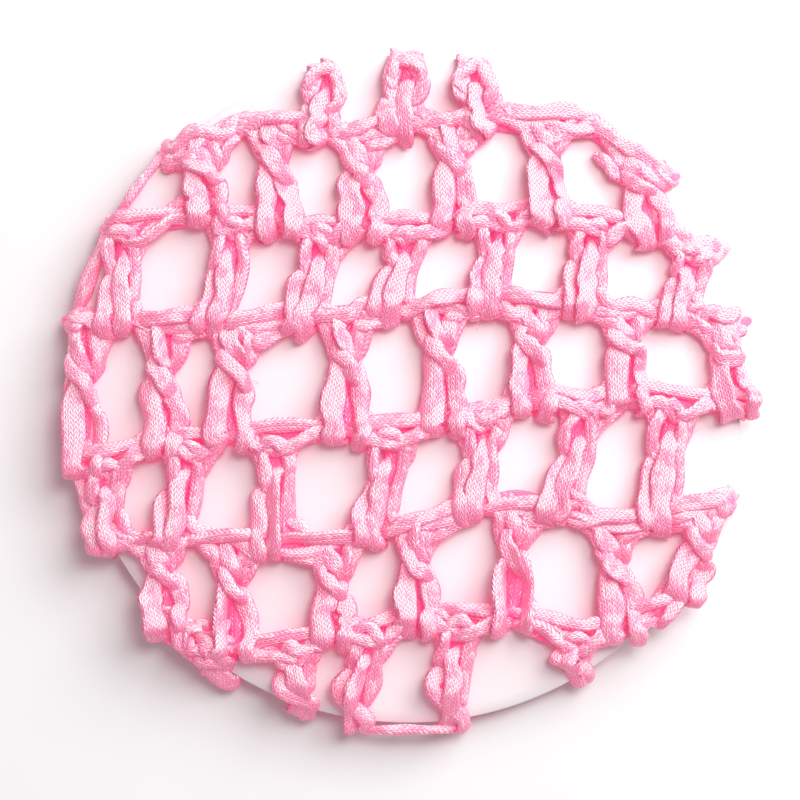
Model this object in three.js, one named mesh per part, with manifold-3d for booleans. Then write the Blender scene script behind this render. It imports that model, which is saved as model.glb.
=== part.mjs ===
// A crochet bun snood, held on a round card: a coarse net worked in ribbon tape, an elastic cord
// that the net's rim hooks round behind the card, and the card itself, bowed by their pull.
// Millimetres, +Z up. The net's face is up, its rim rests on z = 0, and the origin is on that
// plane under the middle of the whole.
import * as THREE from 'three';
import { mergeVertices } from 'three/addons/utils/BufferGeometryUtils.js';
import Module from 'manifold-3d';

// Driving sizes.
const cardDiameter = 95;
const cardThickness = 0.8;
const cardBow = 3;              // how far the card's middle stands above its edge
const elasticDiameter = 1.2;
const elasticInset = 2.25;      // the ring's middle stands this far inside the card's edge
const elasticSlip = 1.9;        // the ring sits this far down the face, so it shows at the foot
const barWidth = 4.2;           // a chain bar, seen from the face
const barDepth = 2.6;
const postWidth = 5.8;          // a post at its foot, two tapes wide
const hookWidth = 4.4;          // where the net turns over the card's edge
const tapeWrap = 0.9;           // tape wound round a bar or the elastic
const rimBulge = 1.6;           // how far the middle of the turned tape stands off the card's edge
const netSag = 0.7;             // how much further it stands off at the foot, and less at the top
const clearance = 0.3;
const restFlat = 0.15;          // how far the rim's tape is pressed flat where it rests

// The net's chart. Places are shares of the card's radius, +x right and +y up. Bars are listed
// from the top down. A bar's heights stand at even steps from its left end to its right end.
const barChart = [
  { left: -0.70, right: 0.77, heights: [0.700, 0.805, 0.765, 0.795, 0.805, 0.800, 0.630] },
  { left: -0.87, right: 0.91, heights: [0.490, 0.522, 0.485, 0.490, 0.527, 0.500, 0.415] },
  { left: -0.97, right: 0.98, heights: [0.205, 0.202, 0.209, 0.243, 0.263, 0.243, 0.200] },
  { left: -0.97, right: 0.99, heights: [-0.218, -0.147, -0.122, -0.107, -0.038, -0.020, -0.035] },
  { left: -0.90, right: 0.94, heights: [-0.450, -0.437, -0.458, -0.391, -0.336, -0.391, -0.340] },
  { left: -0.72, right: 0.82, heights: [-0.700, -0.775, -0.722, -0.676, -0.673, -0.727, -0.600] },
];

// Post rows between one bar and the next. Heads hang on the upper bar, feet wrap the lower one.
// Rows are turned as they are worked, so every second one shows its back.
const postChart = [
  {
    face: 'front',
    heads: [-0.61, -0.40, -0.145, 0.137, 0.405, 0.664],
    feet: [-0.595, -0.389, -0.137, 0.130, 0.420, 0.718],
  },
  {
    face: 'back',
    heads: [-0.847, -0.511, -0.244, 0.00, 0.275, 0.557, 0.855],
    feet: [-0.855, -0.565, -0.298, -0.046, 0.244, 0.527, 0.809],
  },
  {
    face: 'front',
    heads: [-0.965, -0.718, -0.496, -0.176, 0.092, 0.374, 0.649, 0.931],
    feet: [-0.980, -0.733, -0.534, -0.183, 0.099, 0.359, 0.649, 0.975],
  },
  {
    face: 'back',
    heads: [-0.893, -0.641, -0.389, -0.038, 0.229, 0.534, 0.786],
    feet: [-0.895, -0.695, -0.397, -0.092, 0.198, 0.458, 0.756],
  },
  {
    face: 'front',
    heads: [-0.733, -0.519, -0.214, 0.031, 0.328, 0.603, 0.885],
    feet: [-0.720, -0.519, -0.229, 0.023, 0.305, 0.634, 0.820],
  },
];

// Posts of the first and last rows run from a bar over the card's edge, at an angle on the face.
const edgePosts = [
  { bar: 0, x: -0.26, degrees: 104.6 },
  { bar: 0, x: -0.015, degrees: 90.3 },
  { bar: 0, x: 0.23, degrees: 78.5 },
  { bar: 5, x: -0.656, degrees: 234.0 },
  { bar: 5, x: -0.336, degrees: 250.4 },
  { bar: 5, x: -0.099, degrees: 260.3 },
  { bar: 5, x: 0.160, degrees: 277.0 },
  { bar: 5, x: 0.504, degrees: 299.6 },
];

// Strands that follow the card's edge from one place on the rim to the next: the thin turns
// between rows at the top left, and the two-tape loop at the lower left corner.
const edgeStrands = [
  { from: 104.6, to: 135.0, width: 1.5 },
  { from: 135.0, to: 150.6, width: 1.5 },
  { from: 150.6, to: 168.1, width: 1.5 },
  { from: 224.0, to: 240.0, width: 3.4 },
];

// A post's outline from its head down: where each section stands on the way, its width as a share
// of postWidth and its depth as a share of the wrapped bar's.
const postShapes = {
  front: [
    { at: 0.00, width: 0.55, depth: 0.50 },
    { at: 0.24, width: 0.72, depth: 0.70 },
    { at: 0.55, width: 0.82, depth: 0.76 },
    { at: 0.80, width: 1.00, depth: 1.00 },
    { at: 0.95, width: 0.96, depth: 0.96 },
    { at: 1.00, width: 0.86, depth: 0.55 },
  ],
  back: [
    { at: 0.00, width: 0.50, depth: 0.55 },
    { at: 0.22, width: 0.52, depth: 0.62 },
    { at: 0.46, width: 0.86, depth: 0.70 },
    { at: 0.80, width: 1.00, depth: 1.00 },
    { at: 0.95, width: 0.94, depth: 0.96 },
    { at: 1.00, width: 0.84, depth: 0.55 },
  ],
};

// The same for the posts that run over the edge, up to where their turn begins.
const edgePostShape = [
  { at: 0.00, width: 0.60, depth: 0.60 },
  { at: 0.50, width: 0.85, depth: 0.80 },
];

const sides = 6;                // round a tape bundle and round the elastic
const barStep = 5.2;            // between a bar's sections
const stitchSwell = 0.16;       // how far a bar's chain stitches swell and narrow it
const cardSegments = 48;
const cardStations = [0, 0.4, 0.75, 1]; // across the card's section, as shares of its radius
const elasticSegments = 48;

// Sizes that follow from them.
const cardRadius = cardDiameter / 2;
const elasticRadius = elasticDiameter / 2;
const elasticRingRadius = cardRadius - elasticInset;
const elasticHeight = tapeWrap + clearance + elasticRadius;
const cardUnderside = 2 * elasticHeight + clearance;
const cardEdgeTop = cardUnderside + cardThickness;
const cardEdgeMiddle = cardUnderside + cardThickness / 2;
const wrapDepth = barDepth + 2 * tapeWrap;
const netLift = clearance + wrapDepth / 2;
const footDrop = barWidth / 2 + tapeWrap;

const wasm = await Module();
wasm.setup();

// How far the turned tape's middle stands from the card's axis, at an angle on the face.
function rimReach(angle) {
  return cardRadius + rimBulge - netSag * Math.sin(angle);
}

// A closed three.js geometry as a solid for joining and cutting.
function solidOf(geometry) {
  const bare = geometry.clone();
  bare.deleteAttribute('normal');
  bare.deleteAttribute('uv');
  const merged = mergeVertices(bare, 1e-4);
  return new wasm.Manifold(new wasm.Mesh({
    numProp: 3,
    vertProperties: merged.attributes.position.array,
    triVerts: new Uint32Array(merged.index.array),
  }));
}

function geometryOf(solid) {
  const mesh = solid.getMesh();
  const geometry = new THREE.BufferGeometry();
  geometry.setAttribute('position', new THREE.BufferAttribute(mesh.vertProperties, 3));
  geometry.setIndex(new THREE.BufferAttribute(mesh.triVerts, 1));
  geometry.computeVertexNormals();
  return geometry;
}

// Height of the card's upper face at a distance from its middle.
function cardTop(radius) {
  const share = Math.min(radius / cardRadius, 1);
  return cardEdgeTop + cardBow * (1 - share * share);
}

// A point over the card's face. Past the edge it bends down round the edge, as the tape does.
function overCard(x, y, lift) {
  const radius = Math.hypot(x, y);
  if (radius <= cardRadius) return new THREE.Vector3(x, y, cardTop(radius) + lift);
  const turn = lift + cardThickness / 2;
  const bend = (radius - cardRadius) / turn;
  const reach = (cardRadius + turn * Math.sin(bend)) / radius;
  return new THREE.Vector3(x * reach, y * reach, cardEdgeMiddle + turn * Math.cos(bend));
}

// A closed bundle of tape through sections that each have a centre, a width and a depth. Each
// section's out points away from what the tape lies on.
function tapeBundle(sections) {
  const positions = [];
  const index = [];
  const tangent = new THREE.Vector3();
  const across = new THREE.Vector3();
  const up = new THREE.Vector3();
  sections.forEach((section, i) => {
    const before = sections[Math.max(i - 1, 0)].centre;
    const after = sections[Math.min(i + 1, sections.length - 1)].centre;
    tangent.subVectors(after, before).normalize();
    across.crossVectors(section.out, tangent).normalize();
    up.crossVectors(tangent, across);
    for (let k = 0; k < sides; k++) {
      const angle = (2 * Math.PI * k) / sides;
      const corner = section.centre.clone()
        .addScaledVector(across, (Math.cos(angle) * section.width) / 2)
        .addScaledVector(up, (Math.sin(angle) * section.depth) / 2);
      positions.push(corner.x, corner.y, corner.z);
    }
  });
  const last = (sections.length - 1) * sides;
  for (let i = 0; i < last; i += sides) {
    for (let k = 0; k < sides; k++) {
      const next = (k + 1) % sides;
      index.push(i + k, i + next, i + sides + k, i + next, i + sides + next, i + sides + k);
    }
  }
  for (let k = 1; k < sides - 1; k++) {
    index.push(0, k + 1, k, last, last + k, last + k + 1);
  }
  const geometry = new THREE.BufferGeometry();
  geometry.setAttribute('position', new THREE.Float32BufferAttribute(positions, 3));
  geometry.setIndex(index);
  return solidOf(geometry);
}

// A section that lies on the card's face at a place given in millimetres.
function faceSection(x, y, width, depth) {
  const centre = overCard(x, y, netLift);
  const out = overCard(x, y, netLift + 1).sub(centre).normalize();
  return { centre, out, width, depth };
}

// The middle line of each bar, as a smooth curve over the chart's heights.
const barLines = barChart.map(({ left, right, heights }) => new THREE.CatmullRomCurve3(
  heights.map((height, i) => new THREE.Vector3(
    cardRadius * THREE.MathUtils.lerp(left, right, i / (heights.length - 1)),
    cardRadius * height,
    0,
  )),
));

// The place on a bar at a given x.
function onBar(bar, x) {
  const { left, right } = barChart[bar];
  const share = THREE.MathUtils.clamp((x - left) / (right - left), 0, 1);
  return barLines[bar].getPoint(share);
}

// The tape's turn over the card's edge, out round the elastic and up behind it, at one angle.
function edgeTurn(degrees, width) {
  const angle = THREE.MathUtils.degToRad(degrees);
  const outward = new THREE.Vector3(Math.cos(angle), Math.sin(angle), 0);
  const ring = elasticRingRadius - elasticSlip * Math.sin(angle);
  const round = elasticRadius + clearance + tapeWrap / 2;
  const outer = rimReach(angle);
  const corner = round / Math.cos(Math.PI / 6);
  const turn = [
    { r: cardRadius - clearance, z: cardEdgeTop + clearance + barDepth / 2, depth: barDepth },
    { r: outer, z: cardEdgeTop, depth: tapeWrap },
    { r: outer, z: cardUnderside, depth: tapeWrap },
    { r: ring + corner / 2, z: elasticHeight - round, depth: tapeWrap },
    { r: ring - corner / 2, z: elasticHeight - round, depth: tapeWrap },
    { r: ring - corner, z: elasticHeight, depth: tapeWrap },
    { r: ring - corner / 2, z: elasticHeight + round, depth: tapeWrap },
    { r: ring + corner / 2, z: elasticHeight + round, depth: tapeWrap },
  ];
  return turn.map(({ r, z, depth }, i) => {
    const before = turn[Math.max(i - 1, 0)];
    const after = turn[Math.min(i + 1, turn.length - 1)];
    const out = outward.clone().multiplyScalar(before.z - after.z);
    out.z = after.r - before.r;
    const centre = outward.clone().multiplyScalar(r);
    centre.z = z;
    return { centre, out: out.normalize(), width, depth };
  });
}

// A bar swells at each of its chain stitches, and its two ends turn over the card's edge.
function barSolid(bar) {
  const line = barLines[bar];
  const steps = Math.round(line.getLength() / barStep);
  const onFace = [];
  for (let i = 0; i <= steps; i++) {
    const point = line.getPointAt(i / steps);
    const swell = 1 + (i % 2 ? stitchSwell : -stitchSwell);
    if (point.length() < cardRadius - barWidth) {
      onFace.push(faceSection(point.x, point.y, barWidth * swell, barDepth * swell));
    }
  }
  const [start, end] = [line.getPoint(0), line.getPoint(1)].map(({ x, y }) => edgeTurn(
    THREE.MathUtils.radToDeg(Math.atan2(y, x)),
    hookWidth,
  ));
  return tapeBundle([...start.reverse(), ...onFace, ...end]);
}

// A post from its head on one bar to its foot, wound round the next.
function postSolid(face, head, foot) {
  const bottom = foot.clone();
  bottom.y -= footDrop;
  return tapeBundle(postShapes[face].map(({ at, width, depth }) => {
    const point = head.clone().lerp(bottom, at);
    return faceSection(point.x, point.y, postWidth * width, wrapDepth * depth);
  }));
}

// A post that runs off the face, over the card's edge and round the elastic.
function edgePostSolid({ bar, x, degrees }) {
  const start = onBar(bar, x);
  const turn = edgeTurn(degrees, postWidth);
  const onFace = edgePostShape.map(({ at, width, depth }) => {
    const point = start.clone().lerp(turn[0].centre, at);
    return faceSection(point.x, point.y, postWidth * width, wrapDepth * depth);
  });
  return tapeBundle([...onFace, ...turn]);
}

function edgeStrandSolid({ from, to, width }) {
  const length = (((to - from) / 360) * Math.PI) * cardDiameter;
  const steps = Math.ceil(length / barStep);
  const sections = [];
  for (let i = 0; i <= steps; i++) {
    const angle = THREE.MathUtils.degToRad(THREE.MathUtils.lerp(from, to, i / steps));
    const out = new THREE.Vector3(Math.cos(angle), Math.sin(angle), 0);
    const centre = out.clone().multiplyScalar(rimReach(angle));
    centre.z = cardEdgeMiddle;
    sections.push({ centre, out, width, depth: tapeWrap });
  }
  return tapeBundle(sections);
}

// Bundles that close on each other can trap a pocket of air, which the real tape fills.
function withoutPockets(solid) {
  const shells = solid.decompose().filter((shell) => shell.volume() > 0);
  return shells.reduce((all, shell) => all.add(shell));
}

function crochetNet() {
  const pieces = barChart.map((_, bar) => barSolid(bar));
  postChart.forEach(({ face, heads, feet }, row) => heads.forEach((x, i) => {
    pieces.push(postSolid(face, onBar(row, x), onBar(row + 1, feet[i])));
  }));
  pieces.push(...edgePosts.map(edgePostSolid), ...edgeStrands.map(edgeStrandSolid));
  const net = pieces.reduce((all, piece) => all.add(piece));
  const floor = new THREE.BoxGeometry(2 * cardDiameter, 2 * cardDiameter, cardDiameter);
  floor.translate(0, 0, restFlat - cardDiameter / 2);
  return geometryOf(withoutPockets(net.subtract(solidOf(floor))));
}

// The card's section, from its middle out along the lower face and back along the upper one.
function displayCard() {
  const lower = cardStations.map((share) => new THREE.Vector2(
    share * cardRadius,
    cardTop(share * cardRadius) - cardThickness,
  ));
  const upper = cardStations.map((share) => new THREE.Vector2(
    share * cardRadius,
    cardTop(share * cardRadius),
  )).reverse();
  const disc = new THREE.LatheGeometry([...lower, ...upper], cardSegments);
  return disc.rotateX(Math.PI / 2);
}

function rimElastic() {
  const ring = new THREE.TorusGeometry(elasticRingRadius, elasticRadius, sides, elasticSegments);
  return ring.translate(0, -elasticSlip, elasticHeight);
}

const ribbon = new THREE.MeshStandardMaterial({ color: 0xf58fb4, roughness: 0.45, metalness: 0 });
const cord = new THREE.MeshStandardMaterial({ color: 0xee86aa, roughness: 0.6, metalness: 0 });
const board = new THREE.MeshStandardMaterial({ color: 0xfaf8f8, roughness: 0.55, metalness: 0 });

function named(name, geometry, material) {
  const mesh = new THREE.Mesh(geometry, material);
  mesh.name = name;
  return mesh;
}

const snood = new THREE.Group();
snood.add(named('crochet_net', crochetNet(), ribbon));
snood.add(named('rim_elastic', rimElastic(), cord));
snood.add(named('display_card', displayCard(), board));

// The origin goes under the middle of the whole, on the plane that it rests on.
const bounds = new THREE.Box3().setFromObject(snood);
const middle = bounds.getCenter(new THREE.Vector3());
snood.position.set(-middle.x, -middle.y, -bounds.min.z);

const part = new THREE.Group();
part.add(snood);
export default part;
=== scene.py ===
import math
import random

import bpy
import numpy as np
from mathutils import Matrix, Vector


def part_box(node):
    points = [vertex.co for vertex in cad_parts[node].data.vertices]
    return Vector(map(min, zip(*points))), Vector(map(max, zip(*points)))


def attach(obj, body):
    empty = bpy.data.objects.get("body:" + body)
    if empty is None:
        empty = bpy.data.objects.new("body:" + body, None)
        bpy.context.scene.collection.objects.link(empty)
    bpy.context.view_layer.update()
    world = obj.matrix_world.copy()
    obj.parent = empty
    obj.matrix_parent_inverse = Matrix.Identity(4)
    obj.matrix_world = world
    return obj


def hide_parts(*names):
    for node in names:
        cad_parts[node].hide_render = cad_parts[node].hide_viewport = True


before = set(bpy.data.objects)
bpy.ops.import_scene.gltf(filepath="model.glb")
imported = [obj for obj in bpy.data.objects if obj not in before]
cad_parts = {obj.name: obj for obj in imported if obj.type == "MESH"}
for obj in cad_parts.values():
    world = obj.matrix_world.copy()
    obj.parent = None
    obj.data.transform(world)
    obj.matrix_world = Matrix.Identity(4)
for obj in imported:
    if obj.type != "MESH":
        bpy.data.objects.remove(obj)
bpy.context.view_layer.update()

# Lengths below are in millimetres, and become metres as a mesh is made.
mm = 0.001

# The camera looks straight down. Its picture is a little wider than the card.
cameraSetup = {
    "pictureWidth": 113.8,     # at the height of the card's edge
    "lens": 135.0,
    "sensor": 36.0,
    "aimX": -1.14,             # from the card's middle
    "aimY": -1.56,
}

cardLow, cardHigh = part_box("display_card")
elasticLow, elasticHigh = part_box("rim_elastic")
cardX = (cardLow.x + cardHigh.x) / 2 / mm
cardY = (cardLow.y + cardHigh.y) / 2 / mm
cardRadius = (cardHigh.x - cardLow.x) / 2 / mm
cardPeak = cardHigh.z / mm
cardUnderside = cardLow.z / mm


# A socket that takes part in an expression. Each operator adds one Math or Vector Math node.
class Wire:
    def __init__(self, graph, socket):
        self.graph = graph
        self.socket = socket

    def __add__(self, other):
        return self.graph.math("ADD", self, other)

    def __radd__(self, other):
        return self.graph.math("ADD", other, self)

    def __sub__(self, other):
        return self.graph.math("SUBTRACT", self, other)

    def __rsub__(self, other):
        return self.graph.math("SUBTRACT", other, self)

    def __mul__(self, other):
        return self.graph.math("MULTIPLY", self, other)

    def __rmul__(self, other):
        return self.graph.math("MULTIPLY", other, self)

    def __truediv__(self, other):
        return self.graph.math("DIVIDE", self, other)

    def __pow__(self, other):
        return self.graph.math("POWER", self, other)

    def __mod__(self, other):
        return self.graph.math("FLOORED_MODULO", self, other)

    def __lt__(self, other):
        return self.graph.math("LESS_THAN", self, other)

    def __gt__(self, other):
        return self.graph.math("GREATER_THAN", self, other)

    def __abs__(self):
        return self.graph.math("ABSOLUTE", self)


class Graph:
    def __init__(self, tree):
        self.tree = tree

    # Any node: its settings first, then the values or links of its sockets.
    def node(self, kind, settings=None, inputs=None):
        made = self.tree.nodes.new(kind)
        for name, value in (settings or {}).items():
            setattr(made, name, value)
        for name, value in (inputs or {}).items():
            self.feed(made.inputs[name], value)
        return made

    def out(self, kind, settings=None, inputs=None, output=0):
        return Wire(self, self.node(kind, settings, inputs).outputs[output])

    def feed(self, socket, value):
        if isinstance(value, Wire):
            self.tree.links.new(value.socket, socket)
        else:
            socket.default_value = value

    def math(self, operation, *operands):
        wires = [o for o in operands if isinstance(o, Wire)]
        vector = any(w.socket.type == "VECTOR" for w in wires)
        made = self.tree.nodes.new("ShaderNodeVectorMath" if vector else "ShaderNodeMath")
        made.operation = operation
        for socket, operand in zip(made.inputs, operands):
            if vector and not isinstance(operand, Wire) and not hasattr(operand, "__len__"):
                operand = (operand, operand, operand)
            self.feed(socket, operand)
        return Wire(self, made.outputs["Value" if vector and operation == "DOT_PRODUCT" else 0])

    def mixColour(self, factor, first, second):
        made = self.tree.nodes.new("ShaderNodeMix")
        made.data_type = "RGBA"
        self.feed(made.inputs["Factor"], factor)
        self.feed(made.inputs[6], first)
        self.feed(made.inputs[7], second)
        return Wire(self, made.outputs[2])

    def smoothStep(self, value, low, high):
        return self.out("ShaderNodeMapRange", {"interpolation_type": "SMOOTHSTEP"},
                        {"Value": value, "From Min": low, "From Max": high})


def newMaterial(name):
    material = bpy.data.materials.new(name)
    material.use_nodes = True
    material.node_tree.nodes.clear()
    return material, Graph(material.node_tree)


def finishMaterial(graph, shader):
    graph.node("ShaderNodeOutputMaterial", inputs={"Surface": Wire(graph, shader.outputs[0])})


# Knitted ribbon tape: columns of small Vs, called wales, that run along the tape. Its colour also holds
# painted light: a sheen, glints, shade in hollows and under strands, and a glow.
ribbonLook = {
    "waleWidth": 0.74,         # across the tape
    "stitchPitch": 0.72,       # along the tape
    "slant": 0.90,             # of a stitch, from its wale's middle to the border
    # Painted shade: the first colour is the deeper pink that hollows, turned-away faces and strands
    # under others take.
    "shadedPink": (1.0, 0.13, 0.34, 1),
    "pink": (1.0, 0.495, 0.68, 1),
    "sheenWhite": (1.0, 0.86, 0.925, 1),
    "line": (0.30, 0.13, 0.22, 1),
    "sheenLightFrom": (0.28, 0.60, 0.75),     # painted sheen: yarn turned this way, in the object's axes, gets the palest colour
    "glow": (0.25, 0.018, 0.06, 1),   # painted glow: emission that stands in for light through the thin knit
    # Stronger painted glow on the shaded inner strands.
    "innerGlow": (0.42, 0.025, 0.12, 1),
    "roughness": 0.25,
    "bump": 0.85,
    "threadRise": 0.20,
    "threadRound": 0.7,        # power that makes a thread's top flatter
    "cloudScale": 420.0,       # of the slow changes along the tape
    "grainScale": 5200.0,
    "patch": (0.36, 0.58),     # a pair is where a change begins and where it is full
    "turned": (0.30, 0.95),
    "paintedSheen": (0.66, 1.08),
    "lit": (0.14, 0.50),
    "body": (0.0, 0.55),
    # Painted glints: a few stitch tops take the palest colour.
    "sparkChance": 0.90,
    "sparkHeight": (0.5, 0.8),
    "sparkShare": 0.7,
    "gap": (0.31, 0.44),       # between one stitch and the next
    "gapChance": (0.25, 0.55),
}


def ribbonMaterial():
    look = ribbonLook
    material, g = newMaterial("satinRibbon")
    uv = g.node("ShaderNodeUVMap", {"uv_map": "UVMap"})
    split = g.node("ShaderNodeSeparateXYZ", inputs={"Vector": Wire(g, uv.outputs[0])})
    wale = Wire(g, split.outputs[0]) + 0.5
    stitch = Wire(g, split.outputs[1])
    side = abs(wale % 1.0 - 0.5) * 2.0           # 0 in a wale's middle, 1 at its border
    row = stitch + side * look["slant"]
    inRow = row % 1.0
    leg = g.math("SINE", inRow * math.pi)
    swell = g.math("SINE", (side * 0.9 + 0.05) * math.pi)
    height = (leg * swell) ** look["threadRound"]

    # One random number for each leg of each stitch, and slow changes along the tape.
    cell = g.out("ShaderNodeCombineXYZ", inputs={
        "X": g.math("FLOOR", wale * 2.0),
        "Y": g.math("FLOOR", row),
    })
    chance = g.out("ShaderNodeTexWhiteNoise", {"noise_dimensions": "2D"}, {"Vector": cell})
    objectSpace = g.out("ShaderNodeTexCoord", output="Object")
    cloud = g.out("ShaderNodeTexNoise", {"noise_dimensions": "3D"},
                  {"Vector": objectSpace, "Scale": look["cloudScale"], "Detail": 2.0})
    grain = g.out("ShaderNodeTexNoise", {"noise_dimensions": "3D"},
                  {"Vector": objectSpace, "Scale": look["grainScale"], "Detail": 1.0})
    # Painted crevice shade carried on the strands: 0 on top, up to 0.9 on strands that lie under
    # others.
    tone = g.out("ShaderNodeAttribute", {"attribute_name": "tone"}, output=2)
    # Painted sheen: faces turned towards a fixed way, in the object's axes, get a paler colour, as if
    # lit from the upper right, and faces turned away get a deeper pink.
    outward = g.out("ShaderNodeTexCoord", output="Normal")
    turned = g.smoothStep(g.math("DOT_PRODUCT", outward, look["sheenLightFrom"]), *look["turned"])
    outer = 1.0 - tone
    patch = g.smoothStep(cloud, *look["patch"])
    sheen = chance * 0.40 + patch * 0.44 + turned * 0.62
    paintedSheen = g.smoothStep(sheen, *look["paintedSheen"]) * outer
    # Painted glints: white dots on a few stitch tops.
    paintedGlint = (chance > look["sparkChance"]) * g.smoothStep(height, *look["sparkHeight"])
    thread = g.smoothStep(height + paintedSheen * 0.3, *look["body"])
    # Painted shade: deeper pink between stitch legs, on faces turned from the sheen's way, and on
    # strands under others.
    body = g.mixColour(thread * (turned * 0.24 + 0.76) * (outer * 0.8 + 0.2),
                       look["shadedPink"], look["pink"])
    # Painted highlight: the palest colour on stitch tops where the painted sheen falls.
    lit = g.mixColour(paintedSheen * g.smoothStep(height, *look["lit"]), body, look["sheenWhite"])
    lit = g.mixColour(paintedGlint * look["sparkShare"], lit, look["sheenWhite"])
    # Dark lines between stitches are the tape's own. They show more on faces that take the painted
    # sheen.
    gap = g.smoothStep(abs(inRow - 0.5), *look["gap"])
    gap = gap * g.smoothStep(1.0 - chance, *look["gapChance"])
    colour = g.mixColour(gap * (turned * 0.34 + 0.32), lit, look["line"])
    bump = g.out("ShaderNodeBump", inputs={
        "Strength": look["bump"],
        "Distance": look["threadRise"] * mm,
        "Height": height + grain * 0.25,
    })
    shader = g.node("ShaderNodeBsdfPrincipled", inputs={
        "Base Color": colour,
        "Roughness": look["roughness"] + grain * 0.12,
        "Normal": bump,
        "Specular IOR Level": 1.0,
        "IOR": 1.6,
        # Painted glow: emission, stronger where the painted crevice shade is.
        "Emission Color": g.mixColour(tone, look["glow"], look["innerGlow"]),
        "Emission Strength": 1.0,
    })
    finishMaterial(g, shader)
    return material


cardLook = {
    # The card's faint pink is painted reflection of light bounced from the pink ribbon. The mottle
    # between its two whites is random.
    "white": (0.93, 0.89, 0.90, 1),
    "mottleWhite": (0.91, 0.87, 0.88, 1),
    "roughness": 0.42,
    "fibreScale": 900.0,
    "mottleScale": 60.0,
    "fibreRise": 0.05,
    "bump": 0.08,
}


def cardMaterial():
    look = cardLook
    material, g = newMaterial("coatedCard")
    place = g.out("ShaderNodeTexCoord", output="Object")
    fibre = g.out("ShaderNodeTexNoise", inputs={
        "Vector": place, "Scale": look["fibreScale"], "Detail": 4.0})
    mottle = g.out("ShaderNodeTexNoise", inputs={
        "Vector": place, "Scale": look["mottleScale"], "Detail": 2.0})
    bump = g.out("ShaderNodeBump", inputs={
        "Strength": look["bump"],
        "Distance": look["fibreRise"] * mm,
        "Height": fibre,
    })
    shader = g.node("ShaderNodeBsdfPrincipled", inputs={
        "Base Color": g.mixColour(mottle, look["white"], look["mottleWhite"]),
        "Roughness": look["roughness"] + fibre * 0.1,
        "Normal": bump,
    })
    finishMaterial(g, shader)
    return material


cardThickness = 0.8
cardBow = cardPeak - cardUnderside - cardThickness
cardEdgeTop = cardUnderside + cardThickness


# Height of the card's upper face.
def cardTop(radius):
    share = min(radius / cardRadius, 1.0)
    return cardEdgeTop + cardBow * (1 - share * share)


# A place at a height above the card. Past the card's edge it bends down round the edge.
def overCard(x, y, lift):
    radius = math.hypot(x, y)
    if radius <= cardRadius:
        return Vector((x, y, cardTop(radius) + lift))
    turn = lift + cardThickness / 2
    bend = min((radius - cardRadius) / turn, 2.0)
    reach = (cardRadius + turn * math.sin(bend)) / radius
    height = cardUnderside + cardThickness / 2 + turn * math.cos(bend)
    return Vector((x * reach, y * reach, height))


# A smooth curve through all the points, at a share of the way from the first to the last.
def smoothLine(points, share):
    places = len(points) - 1
    at = min(max(share, 0.0), 1.0) * places
    i = min(int(at), places - 1)
    t = at - i
    a, b = points[i], points[i + 1]
    before = points[i - 1] if i > 0 else a * 2 - b
    after = points[i + 2] if i + 2 <= places else b * 2 - a
    return 0.5 * ((2 * a) + (b - before) * t + (2 * before - 5 * a + 4 * b - after) * t ** 2
                  + (3 * a - before - 3 * b + after) * t ** 3)


# The net's chart, in shares of the card's radius, +x right and +y up, listed from the top down.
# A bar's heights stand at even steps from its left end to its right end.
barChart = [
    {"left": -0.70, "right": 0.77, "heights": [0.700, 0.805, 0.765, 0.795, 0.805, 0.800, 0.630]},
    {"left": -0.87, "right": 0.91, "heights": [0.490, 0.522, 0.485, 0.490, 0.527, 0.500, 0.415]},
    {"left": -0.97, "right": 0.98, "heights": [0.205, 0.202, 0.209, 0.243, 0.263, 0.243, 0.200]},
    {"left": -0.97, "right": 0.99, "heights": [-0.218, -0.147, -0.122, -0.107, -0.038, -0.020, -0.035]},
    {"left": -0.90, "right": 0.94, "heights": [-0.450, -0.437, -0.458, -0.391, -0.336, -0.391, -0.340]},
    {"left": -0.72, "right": 0.82, "heights": [-0.700, -0.775, -0.722, -0.676, -0.673, -0.727, -0.600]},
]
# Post rows between one bar and the next. Every second row shows its back.
postChart = [
    {"face": "front",
     "heads": [-0.61, -0.40, -0.145, 0.137, 0.405, 0.664],
     "feet": [-0.595, -0.389, -0.137, 0.130, 0.420, 0.718]},
    {"face": "back",
     "heads": [-0.847, -0.511, -0.244, 0.00, 0.275, 0.557, 0.855],
     "feet": [-0.855, -0.565, -0.298, -0.046, 0.244, 0.527, 0.809]},
    {"face": "front",
     "heads": [-0.965, -0.718, -0.496, -0.176, 0.092, 0.374, 0.649, 0.931],
     "feet": [-0.980, -0.733, -0.534, -0.183, 0.099, 0.359, 0.649, 0.975]},
    {"face": "back",
     "heads": [-0.893, -0.641, -0.389, -0.038, 0.229, 0.534, 0.786],
     "feet": [-0.895, -0.695, -0.397, -0.092, 0.198, 0.458, 0.756]},
    {"face": "front",
     "heads": [-0.733, -0.519, -0.214, 0.031, 0.328, 0.603, 0.905],
     "feet": [-0.720, -0.519, -0.229, 0.023, 0.305, 0.634, 0.850]},
]
# Posts from the first bar up over the card's edge, and from the last bar down over it. Each row is
# the place on the bar, and where the post goes over the edge in degrees, anticlockwise from the right.
topPosts = [(-0.26, 104.6), (-0.015, 90.3), (0.23, 78.5)]
bottomPosts = [(-0.656, 234.0), (-0.336, 250.4), (-0.099, 260.3), (0.160, 277.0), (0.504, 299.6)]

# Strands that run along the card's edge: from and to in degrees, and width in millimetres.
edgeStrands = [
    (137.0, 150.6, 1.5), (150.6, 168.1, 2.1), (168.1, 180.5, 1.6),
    (193.0, 206.0, 1.6), (224.0, 239.0, 3.0), (225.0, 236.0, 2.4), (262.0, 278.0, 1.5),
    (318.0, 334.0, 1.7),
]

barLines = [
    [Vector((chart["left"] + (chart["right"] - chart["left"]) * i / (len(chart["heights"]) - 1),
             height)) * cardRadius
     for i, height in enumerate(chart["heights"])]
    for chart in barChart
]


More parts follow.
